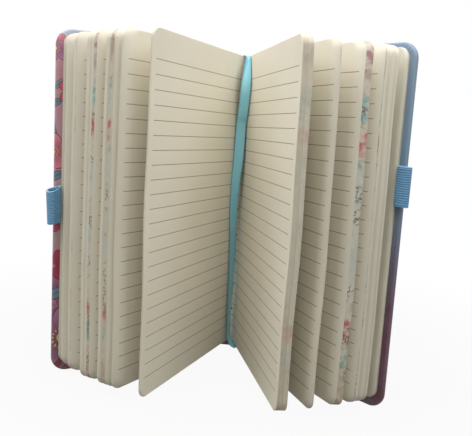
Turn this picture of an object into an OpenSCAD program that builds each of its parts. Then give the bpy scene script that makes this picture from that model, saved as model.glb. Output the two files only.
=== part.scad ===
// Hardcover notebook standing open on its foot, pages fanned between the two covers.
// Millimetres, +Z up. The origin is at the foot of the spine, in the middle of its
// thickness. The opening faces -Y, the front cover is on -X and the back cover on +X.

/* [Pages] */
// Width of a leaf, from the sewn fold to the fore-edge
page_w = 103.5; // [80:0.5:150]
// Height of a leaf
page_h = 178; // [140:1:240]
// Radius of the leaves' fore-edge corners
page_corner_r = 5.5; // [2:0.5:10]
// Thickness of one leaf
leaf_t = 0.1; // [0.08:0.01:0.13]
// Thickness of an endpaper, pasted down or free
endpaper_t = 0.15; // [0.1:0.01:0.25]
// Radius of the valley between the two pages that lie open
valley_r = 2; // [1.5:0.1:4]
// Depth of the sewn sections' folded backs
fold_depth = 1.5; // [1.4:0.1:3]
// Number of sewn sections
sections = 7; // [5:1:12]

/* [Fan] */
// Front cover's side, from the cover inwards: number of leaves and their angle
front_fan = [[6, 48.8], [12, 43.7], [11, 37.2], [16, 36], [8, 31], [7, 29.7], [4, 28.6],
    [3, 26.5], [3, 16.4]];
// Back cover's side, from the cover inwards: number of leaves and their angle
back_fan = [[4, 46.6], [8, 45.4], [10, 43.5], [24, 38.6], [3, 30.3], [11, 23.1], [10, 20.7]];
// Angle of each cover from the line straight out of the spine
cover_angle = 51; // [50.6:0.1:60]

/* [Covers] */
// How far a cover stands out past the leaves at the fore-edge
fore_square = 3.6; // [3:0.1:5]
// How far a cover stands out past the leaves at the foot
foot_square = 5; // [2:0.1:7]
// How far a cover stands out past the leaves at the head
head_square = 2.5; // [1.5:0.1:5]
// Thickness of the boards
board_t = 2; // [1.4:0.1:3]
// Thickness of the printed wrap
wrap_t = 0.35; // [0.2:0.05:0.5]
// Width of the wrap's turn-ins
turn_in = 12; // [8:0.5:18]
// Radius of the covers' fore-edge corners
cover_corner_r = 8.5; // [4:0.5:14]
// Rounding of the wrap over the edges of a board
edge_r = 0.8; // [0.5:0.05:0.9]
// Width of the joint between a board and its hinge line
joint_w = 5; // [4:0.5:8]
// Free space between a closed cover and the leaves
closing_gap = 0.6; // [0.3:0.1:1.5]

/* [Spine] */
// Thickness of the card strip in the spine
stiffener_t = 1.2; // [0.8:0.1:2]
// How much lower the spine ends at the head than the covers do
spine_drop = 2.2; // [0:0.1:3]
// Thickness of the cloth lining on the sewn folds
lining_t = 0.4; // [0.2:0.05:0.8]
// How far the lining stays inside the head and foot of the leaves
lining_inset = 10; // [6:1:30]
// Hollow between the lining and the spine's turn-ins
spine_hollow = 0.35; // [0.3:0.05:0.8]

/* [Pen loops] */
// Height of an elastic loop
loop_h = 20; // [12:0.5:30]
// Size of a loop along the cover
loop_w = 7.8; // [7:0.1:12]
// Size of a loop across the cover
loop_d = 6.2; // [6:0.1:7]
// Thickness of the elastic
elastic_t = 0.9; // [0.5:0.05:1]
// Thickness of the elastic's pressed tail under the pastedown
tail_t = 0.5; // [0.4:0.05:0.8]
// Length of that tail
tail_l = 13; // [8:0.5:20]
// Foot of the front cover's loop
front_loop_z = 84.5; // [20:0.5:90]
// Upright space between the two loops when the covers are closed
loop_space = 2; // [0.5:0.5:10]

/* [Ribbon and thread] */
// Width of the ribbon marker
ribbon_w = 6; // [4:0.5:8]
// Thickness of the ribbon marker
ribbon_t = 0.25; // [0.1:0.05:0.3]
// Length of the ribbon glued behind the sewn folds
ribbon_back_l = 40; // [20:1:80]
// Foot of the ribbon's front leg
ribbon_foot_z = 2.8; // [0.5:0.1:40]
// Distance between the sewing holes
hole_pitch = 16; // [10:1:25]
// Height of the lowest sewing hole above the foot of the leaves
first_hole = 21; // [10:1:30]
// Number of stitches in the open section
stitches = 5; // [3:1:6]
// Thickness of the sewing thread
thread_t = 0.4; // [0.2:0.1:0.8]

/* [Hidden] */
$fn = 64;

FRONT = -1;
BACK = 1;
// Gap that keeps the curved papers of neighbouring pieces apart
paper_gap = 0.05;
// Running gap between a cover and what stays with the spine
running_gap = 0.3;
// How far the hinge lines lie in front of the leaves' roots
hinge_drop = 1.5;
// How far the wrap's wings lean in from the hinge lines to the spine's edges
wing_slope = 1;
// How far a corner's cut reaches past the faces of its leaves, clear of the next group
corner_reach = 0.4;
// Angle between the points of the leaves' bend, and of their round corners
bend_step = 5;
corner_step = 11.25;

// Heights
cover_h = foot_square + page_h + head_square;
spine_h = cover_h - spine_drop;
head_z = foot_square + page_h;

// Depths, from the spine's middle towards the opening
spine_t = stiffener_t + 2 * wrap_t;
lining_y = -spine_t / 2 - spine_hollow - lining_t;
folds_y = lining_y - paper_gap;
root_y = folds_y - fold_depth;
valley_y = root_y - valley_r / 2;

// Widths at the sewn folds
function leaves(fan, first = 0) =
    first < len(fan) ? fan[first][0] + leaves(fan, first + 1) : 0;
function leaves_before(fan, n) = n > 0 ? fan[n - 1][0] + leaves_before(fan, n - 1) : 0;
fly_space = endpaper_t / 2 + paper_gap;
half_leaves = max(leaves(front_fan), leaves(back_fan)) * leaf_t;
half_w = half_leaves + valley_r + fly_space;

// Levels in a cover, from the middle of the outer wrap to the pages' side
board_v = wrap_t / 2;
inner_v = board_v + board_t;
turn_v = inner_v + wrap_t;
page_v = turn_v + endpaper_t;
slab_t = board_t + 2 * wrap_t;

// Hinge line of a cover, and the bend that lets its flyleaf lie along it
hinge_x = half_leaves + closing_gap + endpaper_t + page_v;
hinge_y = root_y - hinge_drop;
bend_r = ((half_w - hinge_x) * cos(cover_angle) + (root_y - hinge_y) * sin(cover_angle)
    + endpaper_t / 2 + running_gap + page_v) / (1 - cos(cover_angle));
bend_x = half_w + bend_r;
fly_flat = page_w - bend_r * PI * cover_angle / 180;
// The hinge line to the flyleaf's fore-edge, measured along the cover
fly_reach = (bend_x - hinge_x) * sin(cover_angle) + (hinge_y - root_y) * cos(cover_angle)
    + fly_flat;
reach = fly_reach + fore_square;
board_reach = reach - wrap_t;
bead_r = 0.5;
tongue_start = bead_r + running_gap;
stiffener_w = 2 * (hinge_x - bead_r - wing_slope);
spine_w = stiffener_w + 2 * wrap_t;

// Pen loops
loop_start = reach - fore_square + 0.4;
tail_end = reach - edge_r - 0.2;
loop_root = 0.3;
back_loop_z = front_loop_z + loop_h + loop_space;

module on_side(side) {
    if (side == BACK) mirror([1, 0, 0]) children();
    else children();
}

// Places a cover's own frame: X from the hinge line to the fore-edge, Y towards the pages
module cover_frame(side) {
    on_side(side) translate([-hinge_x, hinge_y, 0]) rotate([0, 0, -90 - cover_angle])
        children();
}

// Places the frame of a leaf that leaves the spine's bend at an angle
module leaf_frame(angle) {
    translate([-bend_x, root_y, 0]) rotate([0, 0, -angle]) children();
}

// Stands an outline drawn in X and Y upright, its X along the frame's X
module upright(thickness) {
    translate([0, thickness, 0]) rotate([90, 0, 0]) linear_extrude(thickness) children();
}

module rounded_rect(x0, x1, y0, y1, r) {
    translate([x0 + r, y0]) square([x1 - x0 - 2 * r, y1 - y0]);
    translate([x0, y0 + r]) square([x1 - x0, y1 - y0 - 2 * r]);
    for (x = [x0 + r, x1 - r], y = [y0 + r, y1 - r]) translate([x, y]) circle(r);
}

// Outline of a sheet with square corners at x0 and round corners at x1
module sheet_outline(x0, x1, y0, y1, r) {
    intersection() {
        rounded_rect(x0 - 3 * r, x1, y0, y1, r);
        translate([x0, y0]) square([x1 - x0, y1 - y0]);
    }
}

// A sheet that follows the spine's bend to its angle and then runs straight to its edge
module bent_sheet(r, thickness, angle) {
    flat = page_w - r * PI * angle / 180;
    translate([0, 0, foot_square]) leaf_frame(angle) {
        rotate_extrude(angle = angle) translate([r - thickness / 2, 0])
            square([thickness, page_h]);
        translate([r - thickness / 2, 0, 0]) rotate([0, 0, -90]) upright(thickness)
            sheet_outline(0, flat, 0, page_h, page_corner_r);
    }
}

// The leaves' plan, seen from above, is one outline: it runs from the outermost leaf's back
// along each group to its fore-edge, returns to the bend, follows the bend to where the next
// group leaves it, and so on to the open page. All groups bend round the same centre.
function stack_r(fan, n) =
    bend_r + fly_space + half_leaves + (leaves_before(fan, n) - leaves(fan)) * leaf_t;
function group_flat(fan, n) =
    page_w - (stack_r(fan, n) + stack_r(fan, n + 1)) / 2 * PI * fan[n][1] / 180;
function at_angle(angle, x, y) =
    [x * cos(angle) + y * sin(angle) - bend_x, y * cos(angle) - x * sin(angle) + root_y];
function bend_arc(r, from, to) =
    let (steps = ceil(abs(to - from) / bend_step))
    [for (k = [0 : steps]) at_angle(from + (to - from) * k / steps, r, 0)];
function fan_plan(fan) = [
    each bend_arc(stack_r(fan, 0), 0, fan[0][1]),
    for (n = [0 : len(fan) - 1]) let (
        r = stack_r(fan, n + 1),
        last = n == len(fan) - 1,
        next_angle = last ? asin(valley_r / r) : fan[n + 1][1])
        each [
            at_angle(fan[n][1], stack_r(fan, n), -group_flat(fan, n)),
            at_angle(fan[n][1], r, -group_flat(fan, n)),
            each bend_arc(r, fan[n][1], next_angle)]];
function mirrored(points) = [for (k = [len(points) - 1 : -1 : 0]) [-points[k][0], points[k][1]]];

// The round valley between the two open pages
valley_plan = [for (angle = [150 : -15 : 30])
    [valley_r * cos(angle), valley_y - valley_r + valley_r * sin(angle)]];

// Round backs of the folded sections, from the back cover's side to the front cover's
core_w = 2 * (half_w - fly_space);
pitch = core_w / sections;
folds_plan = [for (n = [0 : sections - 1], angle = [15 : 30 : 165])
    [core_w / 2 - (n + 0.5) * pitch + pitch / 2 * cos(angle),
        folds_y - pitch / 2 + pitch / 2 * sin(angle)]];

// What a corner's cut takes away, from the fore-edge inwards and from the foot upwards. It
// crosses both edges at a slant
corner_over = 1;
corner_plan = [[-corner_over, -corner_over], [-corner_over, page_corner_r + corner_over],
    for (angle = [180 + corner_step : corner_step : 270 - corner_step])
        page_corner_r * [1 + cos(angle), 1 + sin(angle)],
    [page_corner_r + corner_over, -corner_over]];

// Cuts the two fore-edge corners of one group of leaves round
module round_corners(fan, n) {
    thickness = fan[n][0] * leaf_t + 2 * corner_reach;
    for (head = [false, true])
        translate([0, 0, head ? head_z : foot_square]) mirror([0, 0, head ? 1 : 0])
            leaf_frame(fan[n][1])
                translate([stack_r(fan, n) - corner_reach, -group_flat(fan, n), 0])
                    rotate([90, 0, 90]) linear_extrude(thickness) polygon(corner_plan);
}

module text_block() color("ivory") difference() {
    translate([0, 0, foot_square]) linear_extrude(page_h) polygon([
        each fan_plan(front_fan), each valley_plan, each mirrored(fan_plan(back_fan)),
        each folds_plan]);
    for (n = [0 : len(front_fan) - 1]) on_side(FRONT) round_corners(front_fan, n);
    for (n = [0 : len(back_fan) - 1]) on_side(BACK) round_corners(back_fan, n);
}

module flyleaf(side) color("linen") on_side(side) bent_sheet(bend_r, endpaper_t, cover_angle);
module front_flyleaf() flyleaf(FRONT);
module back_flyleaf() flyleaf(BACK);

// Stitches along the bottom of the valley, each from one sewing hole to the next
module sewing_thread() color("white") {
    for (n = [0 : stitches - 1])
        translate([0, valley_y - thread_t / 2, foot_square + first_hole + 2 * n * hole_pitch])
            cylinder(h = hole_pitch, d = thread_t);
}

module spine_lining() color("whitesmoke") {
    translate([-half_leaves, lining_y, foot_square + lining_inset])
        cube([2 * half_leaves, lining_t, page_h - 2 * lining_inset]);
}

// Ribbon: glued behind the folds, over the head of the block and down the open page
page_r = bend_r + fly_space + half_leaves + paper_gap;
page_angle = front_fan[len(front_fan) - 1][1];
ribbon_back_y = lining_y + lining_t + (spine_hollow - ribbon_t) / 2;
ribbon_top_z = head_z + paper_gap;
ribbon_start = 1;
function on_leaf(x, y) = [-bend_x + x * cos(page_angle) + y * sin(page_angle),
    root_y - x * sin(page_angle) + y * cos(page_angle)];

module ribbon_marker() color("cadetblue") {
    inner = [on_leaf(page_r, ribbon_start), on_leaf(page_r, ribbon_start - ribbon_w)];
    outer = [on_leaf(page_r + ribbon_t, ribbon_start - ribbon_w),
        on_leaf(page_r + ribbon_t, ribbon_start)];
    translate([-ribbon_w / 2, ribbon_back_y, head_z - ribbon_back_l])
        cube([ribbon_w, ribbon_t, ribbon_back_l + paper_gap + ribbon_t]);
    translate([0, 0, ribbon_top_z]) linear_extrude(ribbon_t) polygon([
        [-ribbon_w / 2, ribbon_back_y + ribbon_t], [-ribbon_w / 2, ribbon_back_y],
        inner[1], outer[0], outer[1],
        [ribbon_w / 2, ribbon_back_y], [ribbon_w / 2, ribbon_back_y + ribbon_t]]);
    translate([0, 0, ribbon_foot_z]) linear_extrude(ribbon_top_z + ribbon_t - ribbon_foot_z)
        polygon([each inner, each outer]);
}

module stiffener_solid() {
    translate([-stiffener_w / 2, -stiffener_t / 2, wrap_t])
        cube([stiffener_w, stiffener_t, spine_h - 2 * wrap_t]);
}

module spine_stiffener() color("tan") stiffener_solid();

// The wrap over the spine, with a wing down to each hinge line that ends in a round bead
module spine_skin() color("slateblue") {
    wing_x = spine_w / 2 - wrap_t / 2;
    wing_l = norm([hinge_x - wing_x, hinge_y]);
    difference() {
        linear_extrude(spine_h) {
            rounded_rect(-spine_w / 2, spine_w / 2, -spine_t / 2, spine_t / 2, wrap_t);
            for (side = [FRONT, BACK]) on_side(side) translate([-hinge_x, hinge_y]) {
                circle(bead_r);
                rotate(-atan2(hinge_x - wing_x, -hinge_y)) translate([-wrap_t / 2, 0])
                    square([wrap_t, wing_l]);
            }
        }
        stiffener_solid();
        translate([-stiffener_w / 2, -spine_t, turn_in])
            cube([stiffener_w, spine_t, spine_h - 2 * turn_in]);
    }
}

// The board's own solid, and the space that the wrap leaves for it
module board_solid() {
    translate([0, board_v, 0]) upright(board_t)
        sheet_outline(joint_w, board_reach, wrap_t, cover_h - wrap_t, cover_corner_r - wrap_t);
}

// Space of the elastic's flat tail, pressed into the turn-in and the board
module loop_tail(z) {
    translate([tail_end - tail_l, turn_v - tail_t, z]) cube([tail_l, tail_t, loop_h]);
}

module board(z) {
    difference() {
        board_solid();
        loop_tail(z);
    }
}

module cover_skin(z) {
    difference() {
        union() {
            intersection() {
                linear_extrude(cover_h) difference() {
                    rounded_rect(0, reach, -wrap_t / 2, turn_v, edge_r);
                    translate([-1, -wrap_t]) square([joint_w + 1, slab_t + wrap_t]);
                }
                translate([joint_w, 0, 0]) rotate([90, 0, 90]) linear_extrude(reach)
                    rounded_rect(-wrap_t / 2, turn_v, 0, cover_h, edge_r);
                translate([0, -wrap_t, 0]) upright(slab_t + 2 * wrap_t)
                    sheet_outline(joint_w, reach, 0, cover_h, cover_corner_r);
            }
            translate([tongue_start, -wrap_t / 2, 0])
                cube([joint_w - tongue_start + edge_r, wrap_t, cover_h]);
        }
        board_solid();
        loop_tail(z);
        translate([0, inner_v, turn_in])
            cube([reach - turn_in, 2 * wrap_t, cover_h - 2 * turn_in]);
    }
}

// The glued leaf: flat over the turn-ins, pressed down to the board between them, and
// carried on over the board's back edge into the joint
module pastedown(z) {
    difference() {
        union() {
            translate([0, turn_v, 0]) upright(endpaper_t)
                sheet_outline(joint_w, fly_reach, foot_square, head_z, page_corner_r);
            translate([joint_w, inner_v, turn_in])
                cube([reach - turn_in - joint_w, wrap_t, cover_h - 2 * turn_in]);
            translate([joint_w - endpaper_t, board_v, foot_square])
                cube([endpaper_t, page_v - board_v, page_h]);
            translate([tongue_start, board_v, foot_square])
                cube([joint_w - tongue_start, endpaper_t, page_h]);
        }
        loop_tail(z);
    }
}

// An elastic band: its two ends, glued together, run from the tail up into an oval tube
module pen_loop(z) {
    outer_r = loop_d / 2 - 0.1;
    loop_tail(z);
    translate([0, 0, z]) linear_extrude(loop_h) difference() {
        union() {
            rounded_rect(loop_start, loop_start + loop_w, turn_v, turn_v + loop_d, outer_r);
            translate([loop_start + loop_root, turn_v - tail_t])
                square([tail_end - loop_start - loop_root, tail_t + outer_r]);
        }
        rounded_rect(loop_start + elastic_t, loop_start + loop_w - elastic_t,
            turn_v + elastic_t, turn_v + loop_d - elastic_t, outer_r - elastic_t);
    }
}

module front_board() color("darkkhaki") cover_frame(FRONT) board(front_loop_z);
module back_board() color("darkkhaki") cover_frame(BACK) board(back_loop_z);
module front_cover_skin() color("palevioletred") cover_frame(FRONT) cover_skin(front_loop_z);
module back_cover_skin() color("slategray") cover_frame(BACK) cover_skin(back_loop_z);
module front_pastedown() color("linen") cover_frame(FRONT) pastedown(front_loop_z);
module back_pastedown() color("linen") cover_frame(BACK) pastedown(back_loop_z);
module front_pen_loop() color("lightblue") cover_frame(FRONT) pen_loop(front_loop_z);
module back_pen_loop() color("lightblue") cover_frame(BACK) pen_loop(back_loop_z);

text_block();
front_flyleaf();
back_flyleaf();
sewing_thread();
spine_lining();
ribbon_marker();
spine_stiffener();
spine_skin();
front_board();
front_cover_skin();
front_pastedown();
front_pen_loop();
back_board();
back_cover_skin();
back_pastedown();
back_pen_loop();
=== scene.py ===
import math

import bmesh
import bpy
import numpy as np
from mathutils import Matrix, Vector


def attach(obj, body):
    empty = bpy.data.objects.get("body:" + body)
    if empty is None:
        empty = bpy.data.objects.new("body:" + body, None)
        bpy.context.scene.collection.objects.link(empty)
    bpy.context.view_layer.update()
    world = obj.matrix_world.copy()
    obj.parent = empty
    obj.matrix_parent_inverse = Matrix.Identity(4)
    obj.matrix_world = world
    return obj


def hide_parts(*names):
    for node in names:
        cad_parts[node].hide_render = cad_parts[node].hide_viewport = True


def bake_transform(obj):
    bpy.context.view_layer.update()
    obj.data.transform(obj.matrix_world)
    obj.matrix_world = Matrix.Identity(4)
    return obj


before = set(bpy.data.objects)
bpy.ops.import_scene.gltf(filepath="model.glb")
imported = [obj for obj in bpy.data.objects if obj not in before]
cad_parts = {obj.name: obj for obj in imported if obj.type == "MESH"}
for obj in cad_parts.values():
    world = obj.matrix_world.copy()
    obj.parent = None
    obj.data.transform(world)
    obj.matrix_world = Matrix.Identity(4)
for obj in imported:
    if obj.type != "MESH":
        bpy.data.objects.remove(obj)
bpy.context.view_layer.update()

# Camera. It stands in front of the open pages, a little to the right and above their middle,
# where the photograph was taken from, turned a little to the left, and it looks slightly down
# with a small roll.
camera_at = Vector((0.04829, -0.37302, 0.13866))
camera_yaw = math.radians(7.578)
camera_pitch = math.radians(8.300)
camera_roll = math.radians(3.46)
camera_lens = 36 * 600 / 472
to_the_right = Vector((math.cos(camera_yaw), math.sin(camera_yaw), 0))
straight_on = Vector((-math.sin(camera_yaw), math.cos(camera_yaw), 0))
upwards = Vector((0, 0, 1))
look = straight_on * math.cos(camera_pitch) - upwards * math.sin(camera_pitch)
rise = straight_on * math.sin(camera_pitch) + upwards * math.cos(camera_pitch)
camera_x = to_the_right * math.cos(camera_roll) + rise * math.sin(camera_roll)
camera_y = rise * math.cos(camera_roll) - to_the_right * math.sin(camera_roll)
camera = bpy.data.objects.new("camera", bpy.data.cameras.new("camera"))
camera.data.lens = camera_lens
camera.data.sensor_width = 36
camera.data.clip_start = 0.01
camera.matrix_world = (
    Matrix.Translation(camera_at) @ Matrix((camera_x, camera_y, -look)).transposed().to_4x4()
)
bpy.context.scene.collection.objects.link(camera)
bpy.context.scene.camera = camera
bpy.context.scene.view_settings.view_transform = "Standard"


# Studio. A floor that looks white, keeps a faint shadow near the notebook and runs on into a
# white surround. Two soft lamps hang close above the open pages and a weak one stands far out
# on the left; most of the light comes from the surround.
floor_reach = 6.0
floor_tint = (150, 148, 142)
floor_shadow, floor_shadow_start, floor_shadow_reach = 0.06, 0.12, 0.30
surround_level = 0.46
lamps_point_to = (0, -0.06, 0.10)
lamps = (
    ("left_lamp", (-0.18, -0.16, 0.60), 0.40, 2.1),
    ("right_lamp", (0.12, -0.20, 0.40), 0.30, 0.75),
    ("side_lamp", (-0.8, -0.25, 0.40), 0.70, 1.1),
)


def linear(red, green, blue):
    """A colour given as screen values from 0 to 255, turned into the light it stands for."""
    share = np.array((red, green, blue)) / 255
    light = np.where(share <= 0.04045, share / 12.92, ((share + 0.055) / 1.055) ** 2.4)
    return (*light.tolist(), 1.0)


def put(tree, socket, value):
    """Gives an input a value, or a link where the value is another node's output."""
    if isinstance(value, bpy.types.NodeSocket):
        tree.links.new(value, socket)
    elif value is not None:
        socket.default_value = value


def add(tree, kind, *values, **settings):
    """Adds a node, fills its inputs in their order and hands back its first output."""
    made = tree.nodes.new("ShaderNode" + kind)
    for name, value in settings.items():
        setattr(made, name, value)
    for socket, value in zip(made.inputs, values):
        put(tree, socket, value)
    return made.outputs[0]


def maths(tree, operation, *values):
    """One sum of one or two values."""
    return add(tree, "Math", *values, operation=operation)


def times(tree, value, other):
    """Two values multiplied."""
    return maths(tree, "MULTIPLY", value, other)


def plus(tree, value, other):
    """Two values added."""
    return maths(tree, "ADD", value, other)


def minus(tree, value, other):
    """The second value taken from the first."""
    return maths(tree, "SUBTRACT", value, other)


def over(tree, value, other):
    """The first value divided by the second."""
    return maths(tree, "DIVIDE", value, other)


def ranged(tree, value, low, high, at_low, at_high):
    """A value that runs from one level at a low place to another at a high one, and no further."""
    return add(tree, "MapRange", value, low, high, at_low, at_high)


def object_place(tree):
    """Where a point lies in the notebook's frame."""
    return tree.nodes.new("ShaderNodeTexCoord").outputs["Object"]


def own_map(tree):
    """Where a point lies on its piece's own flat map."""
    return tree.nodes.new("ShaderNodeUVMap").outputs[0]


def white_to_the_eye(tree):
    """One where a ray comes from the camera, a gloss or a clear piece, and nought elsewhere."""
    path = tree.nodes.new("ShaderNodeLightPath")
    seen = maths(tree, "MAXIMUM", path.outputs["Is Camera Ray"], path.outputs["Is Glossy Ray"])
    return maths(tree, "MAXIMUM", seen, path.outputs["Is Transmission Ray"])


floor_corners = ((-1, -1), (1, -1), (1, 1), (-1, 1))
floor_points = [(x * floor_reach, y * floor_reach, 0) for x, y in floor_corners]
floor_mesh = bpy.data.meshes.new("floor")
floor_mesh.from_pydata(floor_points, [], [(0, 1, 2, 3)])
floor = bpy.data.objects.new("floor", floor_mesh)
bpy.context.scene.collection.objects.link(floor)
floor_paint = bpy.data.materials.new("floor_paint")
floor_paint.use_nodes = True
tree = floor_paint.node_tree
tree.nodes.clear()
matt = add(tree, "BsdfDiffuse", linear(*floor_tint))
glow = add(tree, "Emission", (1, 1, 1, 1), 1.0)
away = add(tree, "VectorMath", object_place(tree), operation="LENGTH").node.outputs["Value"]
own_light = ranged(tree, away, floor_shadow_start, floor_shadow_reach, 1 - floor_shadow, 1.0)
share = times(tree, white_to_the_eye(tree), own_light)
put(tree, tree.nodes.new("ShaderNodeOutputMaterial").inputs[0],
    add(tree, "MixShader", share, matt, glow))
floor.data.materials.append(floor_paint)

world = bpy.data.worlds.new("surround")
world.use_nodes = True
tree = world.node_tree
tree.nodes.clear()
level = ranged(tree, white_to_the_eye(tree), 0.0, 1.0, surround_level, 1.0)
put(tree, tree.nodes.new("ShaderNodeOutputWorld").inputs[0],
    add(tree, "Background", (1, 1, 1, 1), level))
bpy.context.scene.world = world

for name, at, size, power in lamps:
    light = bpy.data.lights.new(name, "AREA")
    light.size = size
    light.energy = power
    holder = bpy.data.objects.new(name, light)
    holder.location = at
    aim = Vector(lamps_point_to) - Vector(at)
    holder.rotation_euler = aim.to_track_quat("-Z", "Y").to_euler()
    bpy.context.scene.collection.objects.link(holder)


# Ruled leaves. Cream writing paper, 178 mm high with round fore-edge corners, folded and sewn
# in sections. The leaves lie on each other round the spine's bend and then fan out in groups;
# after trimming, the block's fore-edge was printed in bands of colour, which also creep a
# hair's breadth over each leaf's faces. A group is its number of leaves, the angles of its
# first and last leaf, and how strongly the print shows on it.
mm = 0.001
foot_z, head_z = 5 * mm, 183 * mm
page_w = 103.5 * mm
page_corner = 5.5 * mm
leaf_t = 0.1 * mm
leaf_body = 0.085 * mm
root_y = -3.25 * mm
bend_x = 18.291 * mm
first_radius = 9.291 * mm
front_fan = [(6, 48.8, 48.6, 0), (8, 43.9, 43.7, 0), (4, 43.6, 43.5, 0.35), (11, 37.3, 37.0, 0),
    (7, 36.2, 36.0, 0), (9, 35.9, 35.5, 1), (8, 31.1, 30.8, 0), (8, 29.9, 29.3, 1),
    (3, 28.6, 28.4, 0), (3, 26.5, 26.2, 0), (3, 16.5, 16.3, 0)]
back_fan = [(4, 46.6, 46.4, 0), (8, 45.5, 45.1, 0), (7, 43.8, 43.6, 0), (3, 43.5, 43.4, 0.8),
    (24, 38.75, 38.45, 1), (3, 30.3, 30.1, 0), (11, 22.3, 21.7, 0.4), (10, 21.4, 20.6, 0.55)]
wave_height = 0.45 * mm
rule_first, rule_last, rule_pitch, rule_t = 10 * mm, 165.5 * mm, 7 * mm, 0.32 * mm
rule_margin = 4 * mm
bleed = 0.09 * mm
paper_tint, paper_shade = (236, 231, 216), (224, 217, 198)
rule_ink = (128, 120, 104)
plain_edge, edge_outline = (222, 214, 196), (84, 70, 62)
edge_print = [(0.00, (172, 150, 124)), (0.03, (176, 124, 118)), (0.055, (196, 178, 152)),
    (0.12, (192, 180, 158)), (0.135, (142, 178, 170)), (0.17, (150, 182, 174)),
    (0.185, (212, 204, 188)), (0.215, (200, 104, 108)), (0.24, (190, 84, 96)),
    (0.255, (214, 202, 186)), (0.34, (208, 208, 196)), (0.42, (196, 206, 198)),
    (0.50, (206, 208, 196)), (0.60, (200, 206, 196)), (0.665, (196, 206, 196)),
    (0.68, (150, 170, 150)), (0.70, (212, 200, 184)), (0.725, (204, 112, 116)),
    (0.755, (188, 76, 90)), (0.77, (212, 202, 186)), (0.80, (140, 186, 182)),
    (0.85, (124, 176, 176)), (0.87, (208, 198, 184)), (0.93, (186, 156, 152)),
    (0.97, (176, 128, 132)), (1.00, (200, 184, 172))]


def corner_heights(corner, foot, head, between):
    """Heights from foot to head, close together where the corners are round, and how much
    each round corner takes off the sheet there: a quarter circle's radius less its cosine."""
    turn = np.radians(np.linspace(90, 0, 7))
    near = corner * (1 - np.sin(turn))
    middle = np.linspace(foot + corner, head - corner, between + 2)[1:-1]
    z = np.concatenate((foot + near, middle, (head - near)[::-1]))
    off = np.minimum(z - foot, head - z)
    cut = corner - np.sqrt(corner**2 - np.maximum(corner - off, 0) ** 2)
    return z, cut


def leaf_plan(s, radius, angle):
    """Plan of a leaf: at distance s from its root it has turned by s over the radius round the
    bend's centre, up to its angle, and from there it runs straight on."""
    turn = np.minimum(s / radius, angle)
    straight = np.maximum(s - radius * angle, 0)
    x = radius * np.cos(turn) - bend_x - straight * math.sin(angle)
    y = root_y - radius * np.sin(turn) - straight * math.cos(angle)
    return x, y, np.cos(turn), -np.sin(turn)


def waves(s, z, angle):
    """How far a leaf leaves its plan: long low waves up its height, in step with its
    neighbours', that grow with the square of the distance from the spine."""
    rise = np.sin(z / (29 * mm) + 3.0 * angle) + 0.45 * np.sin(z / (11.5 * mm) + 9.0 * angle)
    return wave_height * (s / page_w) ** 2 * rise


def surface_normals(points):
    """Unit normals of a grid: the cross product of its two directions of travel."""
    along, up = np.gradient(points, axis=1), np.gradient(points, axis=0)
    across = np.cross(along, up)
    return across / np.linalg.norm(across, axis=2, keepdims=True)


def grid_faces(rows, columns, closed=False):
    """Four-sided faces between the points of a grid, whose columns may close on themselves."""
    row = np.arange(rows - 1)[:, None] * columns
    column = np.arange(columns if closed else columns - 1)[None]
    after = (column + 1) % columns
    quads = (row + column, row + after, row + columns + after, row + columns + column)
    return np.stack(quads, -1).reshape(-1, 4)


def capped_faces(rows, columns):
    """The faces of a grid whose columns close on themselves, with a flat end at its first and
    last rows."""
    faces = [list(face) for face in grid_faces(rows, columns, closed=True)]
    return faces + [list(range(columns)), list(range((rows - 1) * columns, rows * columns))]


def run_along(path):
    """How far each point of a path lies from the first one, along the path."""
    return np.concatenate(((0,), np.cumsum(np.linalg.norm(np.diff(path, axis=0), axis=1))))


def sheet_solid(middle, uv, thickness):
    """A sheet: its middle surface carried half a thickness to each side, and a rim round it.
    Hands back the points, the faces, the texture places and which faces are the rim."""
    rows, columns = middle.shape[:2]
    across = surface_normals(middle) * thickness / 2
    points = np.concatenate(((middle + across).reshape(-1, 3), (middle - across).reshape(-1, 3)))
    count = rows * columns
    index = np.arange(count).reshape(rows, columns)
    border = np.concatenate((index[0, :-1], index[:-1, -1], index[-1, :0:-1], index[:0:-1, 0]))
    after = np.roll(border, -1)
    rim = np.stack((after, border, border + count, after + count), -1)
    face = grid_faces(rows, columns)
    faces = np.concatenate((face, face[:, ::-1] + count, rim))
    flat = np.arange(len(faces)) >= 2 * len(face)
    return points, faces, np.concatenate((uv.reshape(-1, 2),) * 2), flat


def build(name, points, faces, uv, material, flat=None):
    """Makes the mesh and the object of one piece, its faces turned outwards."""
    mesh = bpy.data.meshes.new(name)
    mesh.from_pydata(np.asarray(points).tolist(), [], [list(map(int, face)) for face in faces])
    work = bmesh.new()
    work.from_mesh(mesh)
    bmesh.ops.recalc_face_normals(work, faces=work.faces)
    work.to_mesh(mesh)
    work.free()
    corner = np.empty(len(mesh.loops), dtype=np.int32)
    mesh.loops.foreach_get("vertex_index", corner)
    layer = mesh.uv_layers.new(name="UVMap")
    layer.data.foreach_set("uv", np.asarray(uv, dtype=np.float32)[corner].ravel())
    smooth = np.ones(len(faces), dtype=bool) if flat is None else ~np.asarray(flat)
    mesh.polygons.foreach_set("use_smooth", smooth)
    mesh.materials.append(material)
    made = bpy.data.objects.new(name, mesh)
    bpy.context.scene.collection.objects.link(made)
    return made


def joined(parts):
    """Several solids as the points, faces, texture places and flat marks of one mesh."""
    start = np.cumsum([0] + [len(part[0]) for part in parts[:-1]])
    return (np.concatenate([part[0] for part in parts]),
        np.concatenate([part[1] + first for part, first in zip(parts, start)]),
        np.concatenate([part[2] for part in parts]), np.concatenate([part[3] for part in parts]))


def new_material(name):
    """A material with its node tree and its one shader."""
    material = bpy.data.materials.new(name)
    material.use_nodes = True
    return material, material.node_tree, material.node_tree.nodes["Principled BSDF"]


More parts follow.
